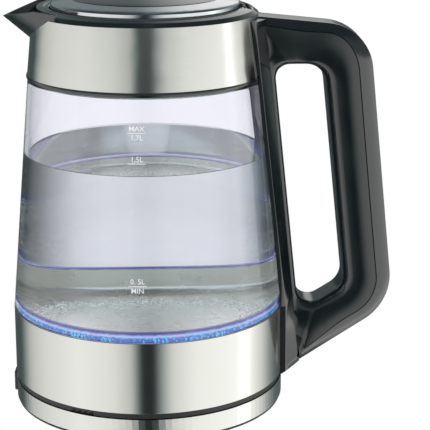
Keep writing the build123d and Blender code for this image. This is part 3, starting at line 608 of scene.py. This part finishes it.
class HandleLines:
    """The handle's outer line and the outline of its opening, in the plane y = 0."""

    top_start, top_slope = 65 * MM, -0.1         # the upper arm falls slightly to the grip
    foot_start, foot_slope = 78.2 * MM, 0.642    # the lower arm climbs to the grip
    foot_depth = 29.9 * MM                       # of the lower arm, measured upright
    bracket_depth = 2.4 * MM                     # from the column's line in to the bracket's face
    hidden_depth = 5.0 * MM                      # and on to an end that the bracket hides

    def __init__(self):
        grip = bpy.context.scene.kettle_handle
        head = top_of("glass_body")
        self.column, self.column_slope = (grip.opening_left, head), -grip.column_lean
        outer = (grip.grip_reach, head)
        inner = (grip.grip_reach - grip.grip_thickness, head)
        lean = -grip.grip_lean
        self.top = (self.top_start, top_of("handle_bracket"))
        self.foot = (self.foot_start, foot_of("handle_bracket") + 0.4 * MM)
        upper = (0.0, grip.opening_top)
        lower = (self.foot[0], self.foot[1] + self.foot_depth)
        self.opening = [crossing(upper, 0.0, self.column, self.column_slope),
                        crossing(upper, 0.0, inner, lean),
                        crossing(lower, self.foot_slope, inner, lean),
                        crossing(lower, self.foot_slope, self.column, self.column_slope)]
        self.outside = [crossing(self.top, self.top_slope, outer, lean),
                        crossing(self.foot, self.foot_slope, outer, lean)]

    def root(self, z, hidden):
        """A point on the handle's end: on the bracket's face, or hidden inside the bracket."""
        depth = self.bracket_depth + (self.hidden_depth if hidden else 0.0)
        return Vector((self.column[0] + (z - self.column[1]) * self.column_slope - depth, z))


class KETTLE_OT_handle(bpy.types.Operator):
    """Handle: arms, grip and cover strip as one flowing loop with its shells' parting line"""
    bl_idname = "kettle.handle"
    bl_label = "Handle loop"

    def stations(self, line):
        """(inner point, outer point, share of the width, parting line's depth, edge) round the loop.

        Edge is 1 where the outer end is the handle's outside, and 0 where it butts on the bracket.
        """
        upper_left, upper_right, lower_right, lower_left = line.opening
        top_corner, foot_corner = line.outside
        arc_ul = rounded_corner(lower_left, upper_left, upper_right, 8 * MM, 10)
        arc_ur = rounded_corner(upper_left, upper_right, lower_right, 11.5 * MM, 12)
        arc_lr = rounded_corner(upper_right, lower_right, lower_left, 12 * MM, 12)
        arc_ll = rounded_corner(lower_right, lower_left, upper_left, 9 * MM, 10)
        root_x = line.root(line.top[1], True).x
        root_top = Vector((root_x, line.top[1] + line.top_slope * (root_x - line.top[0])))
        heel_x = line.root(line.foot[1] + 5 * MM, False).x
        heel = Vector((heel_x, line.foot[1] + line.foot_slope * (heel_x - line.foot[0])))
        outer_tr = rounded_corner(root_top, top_corner, foot_corner, 28 * MM, 12)
        outer_br = rounded_corner(top_corner, foot_corner, heel, 31 * MM, 12)
        above_switch = top_of("switch_lever") + 5 * MM
        well_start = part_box("lid_button")[0].x - 0.35 * MM
        thin = 0.83                      # share of the width that the column has
        shallow, deep_top, deep = 2 * MM, 5.2 * MM, 8.6 * MM
        rows = []

        def add(inner, outer, width, depth, edge=1.0):
            rows.extend(zip(inner, outer, width, depth, [edge] * len(inner)))

        def blend(start, end, count):
            return [start + (end - start) * (1 - cos(pi * i / count)) / 2 for i in range(count)]

        # up the column and round to the upper arm
        ends = [line.root(arc.y, True) for arc in (arc_ll[-1], arc_ul[0])]
        add(between(arc_ll[-1], arc_ul[0], 8), between(*ends, 8), [thin] * 8, [shallow] * 8, 0.0)
        add(arc_ul[:-1], between(ends[1], root_top, 10), blend(thin, 1, 10),
            blend(shallow, deep_top, 10), 0.0)
        # along the upper arm, whose top holds the button's well
        self.well_start = len(rows) + 1
        share = (well_start - root_top.x) / (outer_tr[0].x - root_top.x)
        add([arc_ul[-1]] + between(arc_ul[-1].lerp(arc_ur[0], share), arc_ur[0], 6),
            [root_top] + between(root_top.lerp(outer_tr[0], share), outer_tr[0], 6),
            [1] * 7, [deep_top] * 7)
        self.well_end = len(rows) + 1
        # round and down the grip, and back along the lower arm
        add(arc_ur[:-1], outer_tr[:-1], [1] * 12, blend(deep_top, deep, 12))
        add(between(arc_ur[-1], arc_lr[0], 8), between(outer_tr[-1], outer_br[0], 8),
            [1] * 8, [deep] * 8)
        add(arc_lr[:-1], outer_br[:-1], [1] * 12, [deep] * 12)
        add(between(arc_lr[-1], arc_ll[0], 6), between(outer_br[-1], heel, 6), [1] * 6, [deep] * 6)
        # round the heel, past the switch, to the column
        climb = between(heel, line.root(above_switch - 1.5 * MM, False), 4)
        climb += between(line.root(above_switch, True), ends[0], 6)
        add(arc_ll[:1], climb[:1], [1], [deep])
        add(arc_ll[1:-1], climb[1:], blend(1, thin, 10)[1:], blend(deep, shallow, 10)[1:], 0.0)
        return rows

    def half_section(self, length, half, depth, edge):
        """Half of a cross-section, from the middle of the inner face to that of the outer face."""
        crown = bpy.context.scene.kettle_handle.crown
        groove, drop, rim = 0.3 * MM, 0.5 * MM, 0.9 * MM
        fall = groove + 4.1 * MM * edge           # how far the cover narrows to its outer face
        round_in = min(5.5 * MM, 0.4 * length)
        shoulder = half - crown
        depth = min(depth, 0.4 * length)
        parting = length - depth
        side_end = parting - groove
        points = [(0.0, 0.0)]
        points += [(round_in * (1 - cos(pi / 12 * i)), shoulder - round_in * (1 - sin(pi / 12 * i)))
                   for i in range(7)]
        points += [(round_in + (side_end - round_in) * t, shoulder + crown * sin(pi * t))
                   for t in (0.25, 0.5, 0.75)]
        points += [(side_end, shoulder), (parting, shoulder - drop * edge),
                   (parting + groove, shoulder)]
        points += [(parting + groove + (depth - rim) * t, shoulder - fall * t ** 1.5)
                   for t in (0.35, 0.7, 1.0)]
        points += [(length - 0.15 * MM, shoulder - fall - 0.35 * MM),
                   (length, shoulder - fall - 0.8 * MM)]
        well = min(7.85 * MM, half - 6.0 * MM * edge - 1.5 * MM)    # half the button well's width
        return points + [(length, well), (length, 0.0)]

    def execute(self, context):
        half_width = context.scene.kettle_handle.half_width
        rows = self.stations(HandleLines())
        mesh_data = bmesh.new()
        rings = []
        for inner, outer, width, depth, edge in rows:
            along = outer - inner
            half = self.half_section(along.length, half_width * width, depth, edge)
            loop = half + [(u, -v) for u, v in half[-2:0:-1]]
            along.normalize()
            rings.append([mesh_data.verts.new((inner.x + along.x * u, v, inner.y + along.y * u))
                          for u, v in loop])
        middle = len(half) - 1           # the corner in the middle of the outer face
        well = []
        for i, ring in enumerate(rings):
            following = rings[(i + 1) % len(rings)]
            for j in range(len(ring)):
                k = (j + 1) % len(ring)
                face = mesh_data.faces.new((ring[j], ring[k], following[k], following[j]))
                if self.well_start <= i < self.well_end and j in (middle - 1, middle):
                    well.append(face)
        bmesh.ops.recalc_face_normals(mesh_data, faces=mesh_data.faces)
        sunk = bmesh.ops.extrude_face_region(mesh_data, geom=well)["geom"]
        bmesh.ops.translate(mesh_data, verts=[g for g in sunk if isinstance(g, bmesh.types.BMVert)],
                            vec=(0, 0, -9 * MM))
        loop_piece = finish_mesh("handle_loop", mesh_data, 30.0)
        settle(loop_piece, "kettle", "gloss_black", finish_named("gloss black"),
               "handle_outer_shell", "handle_inner_shell", "handle_cover_strip")
        return {"FINISHED"}


class KETTLE_OT_mouldings(bpy.types.Operator):
    """Black mouldings: neck and spout, handle, bracket, lid centre, foot and base"""
    bl_idname = "kettle.mouldings"
    bl_label = "Black mouldings"

    def execute(self, context):
        gloss = {"spout_rim": "kettle", "collar_trim_ring": "kettle", "handle_bracket": "kettle",
                 "lid_centre": "lid", "lid_button": "lid_button", "switch_lever": "switch"}
        matte = {"bottom_cover": "kettle", "base_bottom_plate": "power_base",
                 "base_top_plate": "power_base", "cord_gland": "power_base",
                 "lid_frame": "lid", "lid_inner_cover": "lid", "connector_core": "power_base",
                 "connector_shutter": "shutter", "control_unit": "kettle"}
        for nodes, slot, finish in ((gloss, "gloss_black", "gloss black"),
                                    (matte, "matte_black", "matte black")):
            for node, body in nodes.items():
                piece = refined_copy(node + "_moulding", node)
                settle(piece, body, slot, finish_named(finish), node)
        return {"FINISHED"}


class KETTLE_OT_marks(bpy.types.Operator):
    """Level marks printed on the glass"""
    bl_idname = "kettle.marks"
    bl_label = "Level marks"

    def execute(self, context):
        azimuth = radians(-94.5)
        # millimetres over the table: the texts' feet, then the lines
        texts = (("MAX", 171.5), ("1.7L", 166.8), ("1.5L", 155.4), ("0. 5L", 90.1), ("MIN", 85.1))
        lines, line_size = (170.5, 154.3, 88.9), (9.8 * MM, 0.35 * MM, 1.0)
        piece_mesh = bmesh.new()
        for text, height in texts:
            curve = bpy.data.curves.new("mark", "FONT")
            curve.body = text
            curve.size = 3.9 * MM
            curve.offset = 0.02 * MM
            curve.align_x = "CENTER"
            holder = bpy.data.objects.new("mark", curve)
            flat = bpy.data.meshes.new_from_object(holder)
            flat.transform(Matrix.Translation((0, height * MM, 0)))
            piece_mesh.from_mesh(flat)
            bpy.data.objects.remove(holder)
            bpy.data.curves.remove(curve)
            bpy.data.meshes.remove(flat)
        for height in lines:
            made = bmesh.ops.create_grid(piece_mesh, x_segments=12, y_segments=1, size=0.5)
            bmesh.ops.scale(piece_mesh, verts=made["verts"], vec=line_size)
            bmesh.ops.translate(piece_mesh, verts=made["verts"], vec=(0, height * MM, 0))
        wall = GlassWall()
        for v in piece_mesh.verts:
            radius = wall.radius(v.co.y) + PRINT_LIFT
            angle = azimuth + v.co.x / radius
            v.co = (radius * cos(angle), radius * sin(angle), v.co.y)
        piece = finish_mesh("level_marks", piece_mesh)
        settle(piece, "kettle", "glass", finish_named("white print"))
        return {"FINISHED"}


class KETTLE_OT_inner_parts(bpy.types.Operator):
    """Finishes for the frame nodes that keep their own shape"""
    bl_idname = "kettle.inner_parts"
    bl_label = "Inner parts"

    def execute(self, context):
        slots = {part["node"]: part["material_slot"] for part in frame["record"]["subparts"]}
        for node, part in frame["nodes"].items():
            finish = finish_named(SLOT_FINISH[slots[node]])
            part.data.materials.clear()
            part.data.materials.append(finish)
        return {"FINISHED"}


# ---- studio ---------------------------------------------------------------------------------
BRIGHTEST = 3.0   # top of the studio's light ramps


def studio_world():
    """White room: soft lights to each side leave a dark gap between them, and a dim wall behind."""
    world = bpy.data.worlds.new("studio")
    bpy.context.scene.world = world
    world.use_nodes = True
    tree = world.node_tree
    tree.nodes.clear()
    split = add_node(tree, "ShaderNodeSeparateXYZ", inputs={
        "Vector": add_node(tree, "ShaderNodeTexCoord").outputs["Generated"]})
    height = split.outputs["Z"]
    azimuth = calculate(tree, "ARCTAN2", split.outputs["X"],
                        calculate(tree, "MULTIPLY", split.outputs["Y"], -1.0))
    turn = ranged(tree, azimuth, 0.0, 1.0, -pi, pi)

    def panorama(*stops):
        """Light level by azimuth in degrees; 0 is towards the camera, and plus is to its right."""
        grey = ramp_of(tree, turn, [((degrees_round + 180) / 360, (*[level / BRIGHTEST] * 3, 1))
                                    for degrees_round, level in stops])
        return calculate(tree, "MULTIPLY", grey, BRIGHTEST)

    def faded(first, second, start, end):
        """One light below the height `start`, and another above `end`."""
        share = ranged(tree, height, 0.0, 1.0, start, end, smooth=True)
        return add_node(tree, "ShaderNodeMix", {"data_type": "FLOAT"}, {
            0: share, 2: first, 3: second}).outputs[0]

    # what polished and brushed surfaces mirror: upright ones see the low light, level ones the high
    low = panorama((-180, 0.1), (-140, 0.1), (-122, 0.62), (-98, 0.9), (-62, 1.1), (-32, 0.98),
                   (-15, 0.66), (-6.5, 0.02), (4, 0.02), (10, 0.4), (20, 0.85), (40, 1.15),
                   (80, 1.25), (89, 1.8), (98, 1.15), (110, 0.85), (124, 0.42), (140, 0.16),
                   (180, 0.12))
    high = panorama((-180, 0.28), (-120, 0.3), (-30, 0.3), (30, 0.35), (120, 0.3), (158, 0.4),
                    (167, 1.0), (175, 0.9), (180, 0.4))
    mirrored = calculate(tree, "MULTIPLY", faded(low, high, 0.1, 0.15),
                         ranged(tree, height, 1.3, 0.4, 0.4, 0.75, smooth=True))
    # what is seen through glass and water: a bright wall behind, dark to its sides, and a ceiling
    walls = panorama((-180, 1.0), (-166, 1.0), (-155, 0.85), (-147, 0.62), (-137, 0.26),
                     (-125, 0.12), (-110, 0.3), (-60, 1.0), (60, 1.0), (110, 0.2), (127, 0.07),
                     (140, 0.17), (148, 0.36), (155, 0.56), (164, 0.88), (171, 1.0), (180, 1.0))
    above = panorama((-180, 0.5), (-164, 1.5), (-150, 1.5), (-120, 2.3), (120, 2.3), (150, 1.5),
                     (164, 1.5), (180, 0.5))
    through = faded(0.95, faded(walls, above, -0.02, 0.1), -0.55, -0.38)

    def background(colour, strength):
        return add_node(tree, "ShaderNodeBackground", inputs={"Color": colour, "Strength": strength})

    def either(share, first, second):
        return add_node(tree, "ShaderNodeMixShader", inputs={
            "Fac": share, 1: first.outputs[0], 2: second.outputs[0]})

    sideways = ranged(tree, calculate(tree, "ABSOLUTE", azimuth), 0.0, 1.0,
                      radians(158), radians(132), smooth=True)
    bluish_sides = blended(tree, sideways, linear("fbfbfc"), linear("cfe0ea"))
    cool_shade = blended(tree, ranged(tree, mirrored, 0.0, 1.0, 0.1, 0.9),
                         linear("c4dcde"), linear("fdfefa"))
    path = add_node(tree, "ShaderNodeLightPath")
    room = background(linear("ffffff"), 1.0)
    lit = either(path.outputs["Is Glossy Ray"], room, background(cool_shade, mirrored))
    lit = either(path.outputs["Is Transmission Ray"], lit, background(bluish_sides, through))
    lit = either(path.outputs["Is Camera Ray"], lit, room)
    add_node(tree, "ShaderNodeOutputWorld", inputs={"Surface": lit.outputs[0]})


def white_floor():
    """Seamless white paper: plain white to the eye, and lit paper to everything else."""
    material, tree, shader = new_material("white_paper", **{
        "Base Color": linear("f4f4f4"), "Roughness": 0.7})
    path = add_node(tree, "ShaderNodeLightPath")
    white = add_node(tree, "ShaderNodeEmission", inputs={"Color": (1, 1, 1, 1), "Strength": 1.0})
    mixed = add_node(tree, "ShaderNodeMixShader", inputs={
        "Fac": path.outputs["Is Camera Ray"], 1: shader.outputs["BSDF"], 2: white.outputs["Emission"]})
    tree.links.new(mixed.outputs["Shader"], output_of(tree).inputs["Surface"])
    return material


class KETTLE_OT_studio(bpy.types.Operator):
    """Floor, room light and camera"""
    bl_idname = "kettle.studio"
    bl_label = "Studio"

    def execute(self, context):
        settings = context.scene.kettle_studio
        studio_world()
        floor_mesh = bmesh.new()
        bmesh.ops.create_circle(floor_mesh, cap_ends=True, segments=64, radius=3.0)
        floor = finish_mesh("studio_floor", floor_mesh)
        floor.data.materials.append(white_floor())
        floor.visible_glossy = floor.visible_transmission = False
        camera = bpy.data.objects.new("camera", bpy.data.cameras.new("camera"))
        context.scene.collection.objects.link(camera)
        camera.data.lens = settings.lens
        camera.data.sensor_width = 36.0
        camera.location = settings.camera_place
        camera.rotation_euler = (pi / 2 - settings.camera_pitch, 0.0, -settings.camera_yaw)
        context.scene.camera = camera
        context.scene.view_settings.view_transform = "Standard"
        context.scene.view_settings.look = "None"
        return {"FINISHED"}


class KETTLE_PT_panel(bpy.types.Panel):
    """Kettle tools in the sidebar"""
    bl_label = "Kettle"
    bl_idname = "KETTLE_PT_panel"
    bl_space_type = "VIEW_3D"
    bl_region_type = "UI"
    bl_category = "Kettle"

    def draw(self, context):
        scene = context.scene
        for group in (scene.kettle_vessel, scene.kettle_handle, scene.kettle_studio):
            for name in group.__annotations__:
                self.layout.prop(group, name)
        for operator in OPERATORS:
            self.layout.operator(operator.bl_idname)


OPERATORS = (KETTLE_OT_studio, KETTLE_OT_inner_parts, KETTLE_OT_glass, KETTLE_OT_water,
             KETTLE_OT_bubbles, KETTLE_OT_steel, KETTLE_OT_heater, KETTLE_OT_handle,
             KETTLE_OT_mouldings, KETTLE_OT_marks)
CLASSES = (KettleVesselSettings, KettleHandleSettings, KettleStudioSettings, *OPERATORS,
           KETTLE_PT_panel)


def register():
    for each in CLASSES:
        bpy.utils.register_class(each)
    bpy.types.Scene.kettle_vessel = PointerProperty(type=KettleVesselSettings)
    bpy.types.Scene.kettle_handle = PointerProperty(type=KettleHandleSettings)
    bpy.types.Scene.kettle_studio = PointerProperty(type=KettleStudioSettings)


def unregister():
    del bpy.types.Scene.kettle_vessel
    del bpy.types.Scene.kettle_handle
    del bpy.types.Scene.kettle_studio
    for each in reversed(CLASSES):
        bpy.utils.unregister_class(each)


def main():
    register()
    for operator in OPERATORS:
        group, name = operator.bl_idname.split(".")
        getattr(getattr(bpy.ops, group), name)()


if __name__ == "__main__":
    main()
